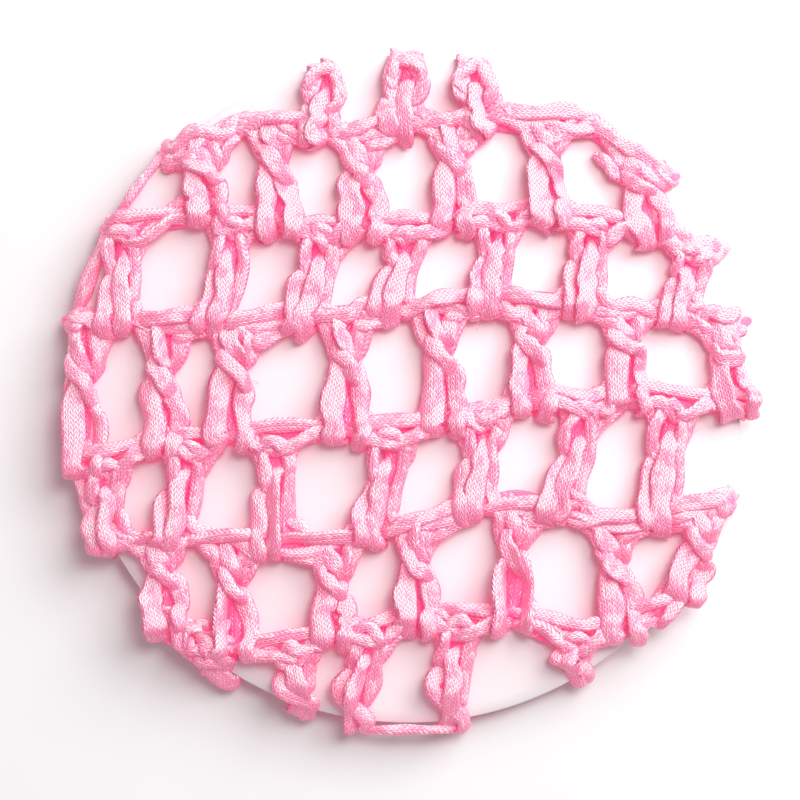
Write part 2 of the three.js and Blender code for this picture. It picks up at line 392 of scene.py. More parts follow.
def onBar(bar, x):
    chart = barChart[bar]
    return smoothLine(barLines[bar], (x - chart["left"]) / (chart["right"] - chart["left"]))


def onRim(degrees):
    angle = math.radians(degrees)
    return Vector((math.cos(angle), math.sin(angle))) * cardRadius * postShape["rimShare"]


# Strands of a post. Each row is: millimetres to the right of the post's middle, which the spread
# below widens, share of the way from head to foot, millimetres above the card, and width.
frontPost = {
    "headLeft": [(-1.0, -0.03, 1.7, 1.8), (-1.0, 0.13, 3.0, 2.5), (-0.1, 0.26, 3.0, 2.4),
                 (0.8, 0.38, 1.8, 2.0)],
    "headRight": [(1.4, 0.02, 1.6, 1.8), (1.3, 0.14, 2.5, 2.1), (1.4, 0.28, 2.3, 2.0),
                  (0.9, 0.42, 1.3, 1.8)],
    "wrap": [(0.2, 0.30, 1.0, 1.8), (-1.3, 0.27, 2.2, 1.8), (-1.4, 0.34, 3.2, 1.9),
             (-0.3, 0.44, 3.9, 2.3), (0.9, 0.53, 3.3, 2.2), (1.6, 0.62, 1.6, 1.9)],
    "footLeft": [(0.0, 0.36, 1.5, 2.2), (-0.8, 0.45, 2.6, 2.7), (-1.2, 0.60, 3.2, 3.2),
                 (-1.3, 0.80, 3.6, 3.4)],
    "footRight": [(0.9, 0.44, 1.3, 2.0), (1.4, 0.58, 2.2, 2.6), (1.8, 0.75, 2.1, 2.7),
                  (2.0, 0.90, 2.4, 2.4)],
    "inner": [(0.3, 0.04, 1.0, 2.4), (0.2, 0.50, 1.1, 2.6), (0.3, 1.02, 0.9, 2.6)],
    "flareLeft": [(-0.9, 0.46, 1.2, 1.6), (-1.8, 0.30, 2.1, 1.8), (-2.7, 0.12, 2.2, 1.8),
                  (-4.4, 0.0, 1.5, 1.6)],
    "flareRight": [(1.0, 0.42, 1.1, 1.6), (2.0, 0.28, 1.9, 1.8), (3.0, 0.10, 2.1, 1.8),
                   (4.6, -0.02, 1.4, 1.6)],
}
backPost = {
    "neck": [(-2.0, 0.24, 2.0, 1.5), (-1.6, 0.14, 3.0, 1.6), (-0.5, 0.08, 3.7, 1.8),
             (0.7, 0.08, 3.6, 1.8), (1.5, 0.14, 2.8, 1.6), (1.8, 0.24, 2.0, 1.5)],
    "legLeft": [(-1.2, 0.10, 2.4, 1.5), (-1.7, 0.20, 3.0, 1.7), (-1.75, 0.34, 3.0, 1.9),
                (-1.3, 0.48, 2.4, 1.9), (-0.6, 0.60, 1.4, 1.6)],
    "legRight": [(1.0, 0.10, 2.3, 1.5), (1.5, 0.22, 2.7, 1.7), (1.6, 0.42, 2.2, 2.0),
                 (1.5, 0.70, 1.8, 2.2), (1.6, 0.93, 1.6, 2.0)],
    "inner": [(0.1, 0.04, 1.3, 2.4), (0.1, 0.50, 1.3, 2.4), (0.0, 1.02, 0.9, 2.6)],
    "footMiddle": [(0.2, 0.33, 1.7, 1.8), (-0.1, 0.44, 2.9, 2.4), (-0.2, 0.62, 3.5, 2.9),
                   (-0.1, 0.82, 3.8, 3.0)],
    "footLeft": [(-0.9, 0.50, 1.6, 2.0), (-1.8, 0.64, 2.5, 2.5), (-2.1, 0.82, 3.1, 2.6)],
    "flareLeft": [(-1.6, 0.42, 1.4, 1.6), (-2.1, 0.27, 1.9, 1.7), (-3.1, 0.08, 2.1, 1.7),
                  (-4.7, 0.0, 1.4, 1.5)],
    "flareRight": [(1.6, 0.44, 1.2, 1.6), (2.2, 0.27, 1.8, 1.7), (3.1, 0.09, 2.1, 1.7),
                   (4.7, -0.02, 1.4, 1.5)],
}
# At the top of the net a post's two legs go over the card's edge, and a crown joins them. The legs'
# rows are for the right one, and the left one is its mirror image.
topLoop = {
    "legs": [(0.5, 0.70, 2.2, 2.0), (1.7, 0.50, 2.9, 2.2), (2.0, 0.28, 2.9, 2.4)],
    "crown": [(-1.9, 0.42, 2.6, 1.5), (-1.9, 0.16, 3.3, 1.7), (-0.8, -0.02, 3.3, 1.9),
              (0.8, -0.02, 3.2, 1.9), (1.9, 0.16, 3.2, 1.7), (1.9, 0.42, 2.6, 1.5)],
    "turnWidth": 2.8,
    "turnAcross": 1.05,
    "turnLift": 1.6,
    "wander": 0.15,
}
postShape = {
    "spread": 1.1,
    "rimShare": 0.97,          # of the card's radius, where a post over the edge ends
    "flareMargin": 1.2,        # a flare whose tip comes nearer to the card's edge is left out
    "flareSlope": 0.5,         # and so are the flares of a post that leans more
    "footLift": 0.7,           # share of its height that a foot takes over the card's edge
    "footWidth": 0.92,
    "wrapTurns": (0, 48, 92, 135, 180),    # degrees round the bar below
    "wrapWidth": 0.985,        # from one of these to the next
    "lowest": 0.4,
}
# Strands that lie low, under the others. Their colour takes painted shade, a deeper pink, and a
# stronger painted glow for the light through the tape.
innerStrands = ("inner", "under", "fill")
innerShade = 0.9
# Feet wrap the bar below them: these strands go on round it, with their drift to the side in mm.
wrappingStrands = {
    "front": {"footLeft": 0.5, "footRight": -0.2},
    "back": {"footMiddle": 0.2, "footLeft": 0.6},
}
# Strands of a bar over one head. Each row is: the share of the way to the bar's next stop on the
# left (below 0) or right (above 0), millimetres down the picture, millimetres above the card, and
# width. Some heads take them with the two sides exchanged.
frontLinks = {
    "upper": [(-1.0, 0.9, 1.6, 1.6), (-0.6, 0.6, 2.6, 1.7), (-0.15, -0.2, 3.2, 1.9),
              (0.35, -0.8, 3.1, 1.9), (0.7, -0.9, 2.4, 1.7), (1.0, -0.4, 1.5, 1.6)],
    "cross": [(-1.0, -0.8, 1.4, 1.5), (-0.55, -0.6, 2.1, 1.6), (0.0, 0.5, 2.4, 1.7),
              (0.5, 1.1, 2.9, 1.7), (1.0, 0.6, 1.9, 1.6)],
    "lower": [(1.0, 1.3, 1.3, 1.5), (0.6, 1.7, 2.3, 1.7), (0.28, 2.4, 2.8, 1.8), (0.1, 3.3, 2.2, 1.7)],
    "leftIn": [(-1.0, 0.3, 1.3, 1.5), (-0.62, 0.5, 2.2, 1.8), (-0.32, 1.5, 2.5, 2.0),
               (-0.12, 2.8, 2.4, 1.9)],
    "riseLeft": [(-0.1, 0.2, 1.5, 1.5), (-0.44, 0.0, 2.2, 1.7), (-0.62, -1.0, 2.2, 1.7),
                 (-0.72, -2.4, 1.8, 1.5), (-0.84, -3.8, 1.2, 1.3)],
    "riseRight": [(0.1, 0.3, 1.5, 1.5), (0.44, 0.1, 2.0, 1.7), (0.62, -1.0, 2.1, 1.7),
                  (0.72, -2.3, 1.7, 1.5), (0.84, -3.6, 1.2, 1.3)],
    "under": [(-1.0, 0.3, 0.9, 2.2), (0.0, 0.5, 1.2, 2.6), (1.0, 0.3, 0.9, 2.2)],
}
backLinks = {
    "upper": [(-1.0, -0.1, 1.5, 1.7), (-0.55, -0.6, 2.5, 1.8), (0.0, -0.7, 2.9, 1.8),
              (0.5, -0.6, 2.5, 1.7), (1.0, -0.2, 1.4, 1.6)],
    "veeLeft": [(-1.0, 0.8, 1.6, 1.6), (-0.6, 0.9, 3.0, 1.8), (-0.25, 1.7, 3.5, 1.8),
                (0.05, 2.9, 3.0, 1.5)],
    "veeRight": [(1.0, 0.8, 1.6, 1.6), (0.62, 0.6, 3.0, 1.9), (0.45, 1.4, 3.3, 1.9),
                 (0.2, 2.3, 3.2, 1.6), (0.0, 3.0, 2.4, 1.5)],
    "fill": [(-0.7, 0.6, 1.3, 2.2), (0.0, 0.9, 1.6, 2.6), (0.7, 0.6, 1.3, 2.2)],
    "riseLeft": [(-0.1, -0.2, 1.5, 1.5), (-0.44, -0.3, 2.0, 1.7), (-0.62, -1.3, 2.1, 1.7),
                 (-0.74, -2.8, 1.7, 1.5)],
    "riseRight": [(0.1, -0.2, 1.5, 1.5), (0.44, -0.3, 2.0, 1.7), (0.62, -1.2, 2.1, 1.7),
                  (0.74, -2.7, 1.7, 1.5)],
    "under": [(-1.0, 0.4, 0.8, 2.2), (0.0, 0.6, 1.0, 2.6), (1.0, 0.4, 0.8, 2.2)],
}

tapeShape = {
    "flatDepth": 0.80,         # of a tape at its full width
    "fullWidth": 3.0,
    "thinnest": 0.45,
    "deepest": 1.45,
    "sidesRound": 16,
    "stepsBetween": 6,         # places on a strand from one row of its table to the next
    "step": 0.36,              # between sections along a tape
    "lump": 0.26,
    "lumpSize": 1.7,
    "bulk": 1.04,              # of all strand widths
    "bulkSpread": 0.06,
    "wander": 0.30,            # how far a strand's held places stray
    "roll": 34.0,              # degrees that a strand may roll to either side
    "pinch": 0.13,             # share by which its width comes and goes
    "curl": 0.2,
    "tuckSteps": 4,            # at a strand's ends, where it narrows and sinks under the others
    "tuckShare": 0.45,
    "sink": 0.35,
    # Painted shade where a strand dips under others: it deepens below this height over the card.
    "dipHeight": 1.8,
    "dipShade": 0.75,
    "dipMargin": 1.5,          # no dip so near the card's edge
    "barLift": 1.9,            # the middle of a wrapped bar above the card
    "barReach": 2.25,
    "barRise": 2.2,
    "floorGap": 0.03,
}


# All strands of one piece, as poly lines with the tape's width, depth, normal and curl on them, and how
# much painted crevice shade each place takes.
class StrandSet:
    def __init__(self, name, seed):
        self.name = name
        self.random = random.Random(seed)
        self.places = []
        self.edges = []
        self.width = []
        self.depth = []
        self.normal = []
        self.curl = []
        self.tone = []

    # One more place. It is tied to the place before it, unless a strand starts with it.
    def lay(self, place, width, depth, normal, curl, tone, starts):
        if not starts:
            self.edges.append((len(self.places) - 1, len(self.places)))
        self.places.append(place * mm)
        self.width.append(width * mm)
        self.depth.append(depth * mm)
        self.normal.append(normal)
        self.curl.append(curl)
        self.tone.append(tone)

    def add(self, places, widths, wander=tapeShape["wander"], tone=0.0, sink=tapeShape["sink"]):
        shape = tapeShape
        gauss = self.random.gauss
        held = [p + Vector((gauss(0, wander), gauss(0, wander), gauss(0, 0.5 * wander)))
                for p in places]
        size = shape["bulk"] * (1 + gauss(0, shape["bulkSpread"]))
        count = (len(held) - 1) * shape["stepsBetween"]
        line = [smoothLine(held, i / count) for i in range(count + 1)]
        rows = [Vector((w * size, 0)) for w in widths]
        across = [smoothLine(rows, i / count)[0] for i in range(count + 1)]
        normals = self.normalsAlong(line)
        roll = math.radians(gauss(0, 0.5) * shape["roll"])
        rollOn = math.radians(gauss(0, 0.5) * shape["roll"])
        curl = shape["curl"] * gauss(0.4, 0.8)
        wave, start = gauss(0.55, 0.15), self.random.uniform(0, math.tau)
        for i, (place, normal, width) in enumerate(zip(line, normals, across)):
            tangent = (line[min(i + 1, count)] - line[max(i - 1, 0)]).normalized()
            angle = roll + rollOn * math.sin(math.pi * 1.5 * i / count)
            side = normal.cross(tangent)
            turned = normal * math.cos(angle) + side * math.sin(angle)
            width *= 1 + shape["pinch"] * math.sin(start + wave * i)
            tuck = max(1 - min(i, count - i) / shape["tuckSteps"], 0) ** 2
            width *= 1 - shape["tuckShare"] * tuck
            place = place - Vector((0, 0, sink * tuck))
            gathered = shape["flatDepth"] * shape["fullWidth"] / width
            self.lay(place + Vector((cardX, cardY, 0)), width,
                     min(max(gathered, shape["thinnest"]), shape["deepest"]), turned, curl,
                     max(tone, self.shadeUnderOthers(place)), i == 0)

    # Where a strand dips under others, near the card, it takes painted shade, up to as much as an inner
    # strand's.
    def shadeUnderOthers(self, place):
        radius = math.hypot(place.x, place.y)
        if radius > cardRadius - tapeShape["dipMargin"]:
            return 0.0
        below = tapeShape["dipHeight"] - (place.z - cardTop(radius))
        return tapeShape["dipShade"] * min(max(below, 0.0), 1.0)

    # Normals turn as little as they can along the line, and point up at its highest place.
    def normalsAlong(self, line):
        tangents = [(line[min(i + 1, len(line) - 1)] - line[max(i - 1, 0)]).normalized()
                    for i in range(len(line))]
        top = max(range(len(line)), key=lambda i: line[i].z - 0.2 * abs(tangents[i].z))
        normals = [None] * len(line)
        normals[top] = self.square(Vector((0, 0, 1)), tangents[top])
        for i in range(top + 1, len(line)):
            normals[i] = self.square(normals[i - 1], tangents[i])
        for i in range(top - 1, -1, -1):
            normals[i] = self.square(normals[i + 1], tangents[i])
        return normals

    def square(self, normal, tangent):
        flat = normal - tangent * normal.dot(tangent)
        return flat.normalized() if flat.length > 1e-6 else tangent.orthogonal().normalized()


# Geometry Nodes tree that sweeps a knitted tape along each poly line.
def tapeTree():
    tree = bpy.data.node_groups.new("knittedTape", "GeometryNodeTree")
    for name, kind in (("Geometry", "Geometry"), ("Step", "Float"), ("Sides", "Int"),
                       ("Wale Width", "Float"), ("Stitch Pitch", "Float"), ("Lump", "Float"),
                       ("Lump Scale", "Float"), ("Material", "Material")):
        tree.interface.new_socket(name, in_out="INPUT", socket_type="NodeSocket" + kind)
    tree.interface.new_socket("Geometry", in_out="OUTPUT", socket_type="NodeSocketGeometry")
    g = Graph(tree)
    given = g.node("NodeGroupInput")

    def sizeOf(name):
        return Wire(g, given.outputs[name])

    def carried(name, kind):
        return g.out("GeometryNodeInputNamedAttribute", {"data_type": kind}, {"Name": name})

    def capture(geometry, **fields):
        made = g.tree.nodes.new("GeometryNodeCaptureAttribute")
        for name, wire in fields.items():
            made.capture_items.new("VECTOR" if wire.socket.type == "VECTOR" else "FLOAT", name)
        g.feed(made.inputs["Geometry"], geometry)
        for name, wire in fields.items():
            g.feed(made.inputs[name], wire)
        return Wire(g, made.outputs["Geometry"]), [Wire(g, made.outputs[n]) for n in fields]

    curve = g.out("GeometryNodeMeshToCurve", inputs={"Mesh": sizeOf("Geometry")})
    curve = g.out("GeometryNodeResampleCurve", {"mode": "LENGTH"},
                  {"Curve": curve, "Length": sizeOf("Step")})
    curve, (centre, tangent, normal, width, depth, curl, length) = capture(
        curve,
        centre=g.out("GeometryNodeInputPosition"),
        tangent=g.out("GeometryNodeInputTangent"),
        normal=carried("tapeNormal", "FLOAT_VECTOR"),
        width=carried("tapeWidth", "FLOAT"),
        depth=carried("tapeDepth", "FLOAT"),
        curl=carried("tapeCurl", "FLOAT"),
        length=g.out("GeometryNodeSplineParameter", output="Length"),
    )
    profile = g.out("GeometryNodeCurvePrimitiveCircle", {"mode": "RADIUS"},
                    {"Resolution": sizeOf("Sides"), "Radius": mm})
    profile, (turn,) = capture(profile, turn=g.out("GeometryNodeSplineParameter", output="Factor"))
    mesh = g.out("GeometryNodeCurveToMesh",
                 inputs={"Curve": curve, "Profile Curve": profile, "Fill Caps": True})

    # Across runs from -1 to 1 over the face and back again underneath, from the back's middle.
    across = 1.0 - abs((turn * 4.0 + 1.0) % 4.0 - 2.0)
    face = (abs(turn - 0.5) < 0.2501) * 2.0 - 1.0
    fullness = g.math("SQRT", g.math("MAXIMUM", 1.0 - abs(across) ** 3.0, 0.0))
    bowed = face * fullness * depth * 0.5 - curl * across * across * width * 0.5
    upward = g.math("NORMALIZE", normal - tangent * g.math("DOT_PRODUCT", normal, tangent))
    sideways = g.math("CROSS_PRODUCT", upward, tangent)
    place = centre + sideways * (across * width * 0.5) + upward * bowed
    lump = g.out("ShaderNodeTexNoise", {"noise_dimensions": "3D"},
                 {"Vector": place, "Scale": sizeOf("Lump Scale"), "Detail": 1.0}, output=1)
    place = place + (lump - 0.5) * sizeOf("Lump")
    lying = g.node("ShaderNodeSeparateXYZ", inputs={"Vector": place})
    place = g.out("ShaderNodeCombineXYZ", inputs={
        "X": Wire(g, lying.outputs[0]),
        "Y": Wire(g, lying.outputs[1]),
        "Z": g.math("MAXIMUM", Wire(g, lying.outputs[2]), tapeShape["floorGap"] * mm),
    })
    mesh = g.out("GeometryNodeSetPosition", inputs={"Geometry": mesh, "Position": place})
    layer = g.out("ShaderNodeCombineXYZ", inputs={
        "X": face * across * width * 0.5 / sizeOf("Wale Width"),
        "Y": length / sizeOf("Stitch Pitch"),
    })
    mesh = g.out("GeometryNodeStoreNamedAttribute", {"data_type": "FLOAT2", "domain": "CORNER"},
                 {"Geometry": mesh, "Name": "UVMap", "Value": layer})
    mesh = g.out("GeometryNodeSetShadeSmooth", inputs={"Geometry": mesh, "Shade Smooth": True})
    mesh = g.out("GeometryNodeRealizeInstances", inputs={"Geometry": mesh})
    mesh = g.out("GeometryNodeSetMaterial", inputs={"Geometry": mesh, "Material": sizeOf("Material")})
    g.node("NodeGroupOutput", inputs={"Geometry": mesh})
    return tree


# Runs a tree on a piece's lines and keeps the result as a plain mesh.
def grow(name, base, tree, values):
    carrier = bpy.data.objects.new(name + "Lines", base)
    bpy.context.collection.objects.link(carrier)
    modifier = carrier.modifiers.new("grow", "NODES")
    modifier.node_group = tree
    for item in tree.interface.items_tree:
        if item.item_type == "SOCKET" and item.in_out == "INPUT" and item.name in values:
            modifier[item.identifier] = values[item.name]
    depsgraph = bpy.context.evaluated_depsgraph_get()
    mesh = bpy.data.meshes.new_from_object(carrier.evaluated_get(depsgraph))
    bpy.data.objects.remove(carrier)
    mesh.name = name
    piece = bpy.data.objects.new(name, mesh)
    bpy.context.collection.objects.link(piece)
    return piece


# One set of strands as a piece.
def sweep(strands, tree, material, sides=tapeShape["sidesRound"]):
    base = bpy.data.meshes.new(strands.name + "Lines")
    base.from_pydata(strands.places, strands.edges, [])
    for name, kind, values in (("tapeWidth", "FLOAT", strands.width),
                               ("tapeDepth", "FLOAT", strands.depth),
                               ("tapeCurl", "FLOAT", strands.curl),
                               ("tone", "FLOAT", strands.tone)):
        base.attributes.new(name, kind, "POINT").data.foreach_set("value", values)
    normals = base.attributes.new("tapeNormal", "FLOAT_VECTOR", "POINT")
    normals.data.foreach_set("vector", [c for normal in strands.normal for c in normal])
    piece = grow(strands.name, base, tree, {
        "Step": tapeShape["step"] * mm,
        "Sides": sides,
        "Wale Width": ribbonLook["waleWidth"] * mm,
        "Lump": tapeShape["lump"] * mm,
        "Lump Scale": 1 / (tapeShape["lumpSize"] * mm),
        "Stitch Pitch": ribbonLook["stitchPitch"] * mm,
        "Material": material,
    })
    if signedVolume(piece.data) < 0:
        piece.data.flip_normals()
    return piece


def signedVolume(mesh):
    mesh.calc_loop_triangles()
    corners = np.zeros(len(mesh.vertices) * 3)
    mesh.vertices.foreach_get("co", corners)
    corners = corners.reshape(-1, 3)
    triangles = np.zeros(len(mesh.loop_triangles) * 3, int)
    mesh.loop_triangles.foreach_get("vertices", triangles)
    a, b, c = (corners[triangles.reshape(-1, 3)[:, k]] for k in range(3))
    return float(np.einsum("ij,ij->i", a, np.cross(b, c)).sum() / 6)


elasticThickness = 1.2
elasticRing = (elasticHigh.x - elasticLow.x) / 2 / mm - elasticThickness / 2
elasticDrop = (elasticHigh.y + elasticLow.y) / 2 / mm - cardY
elasticHeight = (elasticHigh.z + elasticLow.z) / 2 / mm
rimTurn = {
    "standOff": 0.55,          # of the tape from the card's edge
    "sag": 0.5,                # further out than that at the picture's bottom, nearer in at its top
    "gap": 0.55,               # from the elastic to the tape's middle
    "inner": 0.7,              # from the card's edge to where the turn starts
    "lowest": 0.42,
    "turns": (-60, -110, -160, -210, -260),    # degrees round the elastic
}


# The tape's way over the card's edge, round the elastic and up behind it. It leaves the card at an
# angle seen from above, and runs at a distance to one side of that line.
def rimPlaces(degrees, across, lift):
    angle = math.radians(degrees)
    outward = Vector((math.cos(angle), math.sin(angle), 0))
    along = Vector((outward.y, -outward.x, 0))
    ring = elasticRing + elasticDrop * math.sin(angle)
    reach = cardRadius + rimTurn["standOff"] - rimTurn["sag"] * math.sin(angle)
    wrap = elasticThickness / 2 + rimTurn["gap"]
    stations = [(cardRadius - rimTurn["inner"], cardEdgeTop + 0.4 + lift * 0.5),
                (reach, cardEdgeTop - 0.1),
                (reach - 0.1, cardUnderside - 0.6)]
    for turn in rimTurn["turns"]:
        bend = math.radians(turn)
        height = max(elasticHeight + wrap * math.sin(bend), rimTurn["lowest"])
        stations.append((ring + wrap * math.cos(bend), height))
    return [outward * r + along * across + Vector((0, 0, z)) for r, z in stations]


# A post from its head to its foot. A rim angle says that this end goes over the card's edge there.
def addPost(strands, face, head, foot, headRim=None, footRim=None):
    table = frontPost if face == "front" else backPost
    shape = postShape
    down = (foot - head).normalized()
    right = Vector((-down.y, down.x))
    length = (foot - head).length

    def place(across, along, past, lift):
        spot = head + down * (along * length + past) + right * across * shape["spread"]
        return overCard(spot.x, spot.y, lift)

    def laid(rows, side=1):
        return [place(side * across, along, 0, lift) for across, along, lift, _ in rows]

    for name, rows in table.items():
        if headRim is not None and name in ("neck", "flareLeft", "flareRight"):
            continue
        if name.startswith("flare"):
            tip = head + right * rows[-1][0]
            nearEdge = tip.length > cardRadius - shape["flareMargin"]
            if nearEdge or abs(right.y) > shape["flareSlope"]:
                continue
        places = laid(rows)
        widths = [row[3] for row in rows]
        across, _, lift, _ = rows[-1]
        drift = wrappingStrands[face].get(name)
        if drift is not None and footRim is not None:
            turns = rimPlaces(footRim, across, lift * shape["footLift"])
            places += turns
            widths += [widths[-1] * shape["footWidth"]] * len(turns)
        elif drift is not None:
            for step, turn in enumerate(shape["wrapTurns"]):
                bend = math.radians(turn)
                past = tapeShape["barReach"] * math.sin(bend)
                lift = tapeShape["barLift"] + tapeShape["barRise"] * math.cos(bend)
                aside = across + drift * (step + 1) / len(shape["wrapTurns"])
                places.append(place(aside, 1.0, past, max(lift, shape["lowest"])))
                widths.append(widths[-1] * shape["wrapWidth"])
        strands.add(places, widths, tone=innerShade if name in innerStrands else 0.0)
    if headRim is not None:
        legs, crown = topLoop["legs"], topLoop["crown"]
        for side in (-1, 1):
            turns = rimPlaces(headRim, side * topLoop["turnAcross"], topLoop["turnLift"])
            widths = [row[3] for row in legs] + [topLoop["turnWidth"]] * len(turns)
            strands.add(laid(legs, side) + turns, widths, wander=topLoop["wander"])
        strands.add(laid(crown), [row[3] for row in crown])


linkShape = {
    "bulk": 1.12,              # of the strands that run along a bar
    "exchange": 0.3,           # share of the heads that take their strands with exchanged sides
    "roomForRise": 3.5,
    "overlap": 1.28,           # of the way to the place between two heads, past which strands go on
    "wander": 0.36,
    "sink": 0.9,
    "pastEdge": 2.8,
    "pastEdgeLift": 1.0,
    "endRoom": 0.045,          # least share of the card's radius from a bar's last stop to its end
}


# The rises run up beside a foot, where one stands far enough away. Strands of neighbouring heads
# overlap between them. At the net's border a strand goes on round the card's edge.
def addLinks(strands, table, head, left, right, kinds):
    shape = linkShape
    if strands.random.random() < shape["exchange"]:
        left, right = right, left
        kinds = kinds[::-1]
    absent = [name for name, kind, goal in zip(("riseLeft", "riseRight"), kinds, (left, right))
              if kind != "foot" or (goal - head).length < shape["roomForRise"]]
    for name, rows in table.items():
        if name in absent:
            continue
        places = []
        for toward, drop, lift, _ in rows:
            goal, kind = (left, kinds[0]) if toward < 0 else (right, kinds[1])
            share = abs(toward) * (shape["overlap"] if kind == "between" else 1.0)
            spot = head + (goal - head) * share
            places.append(overCard(spot.x, spot.y - drop, lift))
        widths = [row[3] * shape["bulk"] for row in rows]
        if rows[0][0] == -1.0 and kinds[0] == "end":
            places.insert(0, pastEdge(places[0]))
            widths.insert(0, widths[0])
        ending = kinds[0] if rows[-1][0] < 0 else kinds[1]
        if abs(rows[-1][0]) == 1.0 and ending == "end":
            places.append(pastEdge(places[-1]))
            widths.append(widths[-1])
        strands.add(places, widths, wander=shape["wander"],
                    tone=innerShade if name in innerStrands else 0.0, sink=shape["sink"])


# Where a strand of a bar's end goes on to, over the card's edge and down.
def pastEdge(place):
    spot = Vector((place.x, place.y)).normalized() * (cardRadius + linkShape["pastEdge"])
    return overCard(spot.x, spot.y, linkShape["pastEdgeLift"])


# What stands on each bar: the feet of the row above it and the heads of the row below.
def barItems(bar):
    feet = postChart[bar - 1]["feet"] if bar else [x for x, _ in topPosts]
    heads = postChart[bar]["heads"] if bar < len(postChart) else [x for x, _ in bottomPosts]
    return sorted([(x, "foot") for x in feet] + [(x, "head") for x in heads])


# The two tapes at each end of a bar, which go round the elastic.
endTurn = {"inward": 0.09, "across": 1.05, "turnLift": 2.4, "startLift": 2.0,
           "startWidth": 2.2, "turnWidth": 2.35}


def addBar(strands, bar):
    chart = barChart[bar]
    items = barItems(bar)
    face = postChart[bar]["face"] if bar < len(postChart) else "back"
    table = frontLinks if face == "front" else backLinks
    # Links are worked over each head, and over a link point between two feet that follow each other.
    anchors = []
    for i, (x, kind) in enumerate(items):
        anchors.append((x, kind))
        if i + 1 < len(items) and items[i + 1][1] == kind:
            anchors.append(((x + items[i + 1][0]) / 2, "link" if kind == "foot" else "between"))
    for i, (x, kind) in enumerate(anchors):
        if kind in ("foot", "between"):
            continue
        before = (min(chart["left"], x - linkShape["endRoom"]), "end")
        after = (max(chart["right"], x + linkShape["endRoom"]), "end")
        if i > 0:
            before = anchors[i - 1]
        if i + 1 < len(anchors):
            after = anchors[i + 1]
        addLinks(strands, table, onBar(bar, x), endOfBar(bar, before[0]), endOfBar(bar, after[0]),
                 [before[1], after[1]])
    for x, inside in ((chart["left"], 1), (chart["right"], -1)):
        point = onBar(bar, x)
        degrees = math.degrees(math.atan2(point.y, point.x))
        inward = onBar(bar, x + inside * endTurn["inward"])
        for side in (-1, 1):
            turns = rimPlaces(degrees, side * endTurn["across"], endTurn["turnLift"])
            start = overCard(inward.x, inward.y, endTurn["startLift"])
            strands.add([start] + turns,
                        [endTurn["startWidth"]] + [endTurn["turnWidth"]] * len(turns))


# A place on a bar, which may also stand straight out past either of its ends.
def endOfBar(bar, x):
    chart = barChart[bar]
    point = onBar(bar, x)
    over = min(x - chart["left"], 0) + max(x - chart["right"], 0)
    return point + Vector((over * cardRadius, 0))


# Each pair is millimetres out from the card's edge, and below the card's underside.
edgeRun = {
    "end": (-1.4, 0.9),
    "beside": (0.75, 0.1),
    "above": 0.45,             # millimetres out from the edge while it runs on top
    "lift": 0.3,               # above the card's edge
    "arch": 0.9,               # more than that in the strand's middle
    "degreesInStep": 4,
    "fewestSteps": 3,
    "lap": 0.5,                # degrees that its ends go on under the card
    "sag": 0.4,                # as in the rim's turns
    "wander": 0.2,
}


# A strand that runs along the card's edge. Its two ends go down round the edge and under the card.
def addEdgeStrand(strands, start, end, width):
    run = edgeRun
    steps = max(int((end - start) / run["degreesInStep"]), run["fewestSteps"])
    (tipOut, tipDrop), (sideOut, sideDrop) = run["end"], run["beside"]
    stations = [(start - run["lap"], tipOut, cardUnderside - tipDrop),
                (start, sideOut, cardUnderside - sideDrop)]
    for i in range(1, steps):
        lift = run["lift"] + run["arch"] * math.sin(math.pi * i / steps)
        stations.append((start + (end - start) * i / steps, run["above"], cardEdgeTop + lift))
    stations += [(end, sideOut, cardUnderside - sideDrop),
                 (end + run["lap"], tipOut, cardUnderside - tipDrop)]
    places = []
    for degrees, past, height in stations:
        angle = math.radians(degrees)
        reach = cardRadius + past - run["sag"] * math.sin(angle)
        places.append(Vector((math.cos(angle) * reach, math.sin(angle) * reach, height)))
    strands.add(places, [width] * len(places), wander=run["wander"])


# Fine stray fibres that stand out of the tapes.
fuzzLook = {"count": 420, "shortest": 0.6, "longest": 2.0, "width": 0.055, "steps": 8,
            "bend": 0.45, "rootShare": 0.35, "lowest": 0.1, "sides": 4}


def addFuzz(fuzz, strandSets):
    draw = fuzz.random
    look = fuzzLook
    for _ in range(look["count"]):
        strands = draw.choice(strandSets)
        i = draw.randrange(len(strands.places))
        side = Vector([draw.gauss(0, 1) for _ in range(3)]).normalized()
        outward = (strands.normal[i] * 0.6 + side).normalized()
        turn = Vector([draw.gauss(0, 1) for _ in range(3)]).cross(outward).normalized()
        length = draw.uniform(look["shortest"], look["longest"])
        root = strands.places[i] / mm + outward * strands.width[i] / mm * look["rootShare"]
        for step in range(look["steps"] + 1):
            t = step / look["steps"]
            place = root + outward * length * t + turn * length * look["bend"] * t * t
            place.z = max(place.z, look["lowest"])
            fuzz.lay(place, look["width"], look["width"], turn, 0.0, 0.0, step == 0)


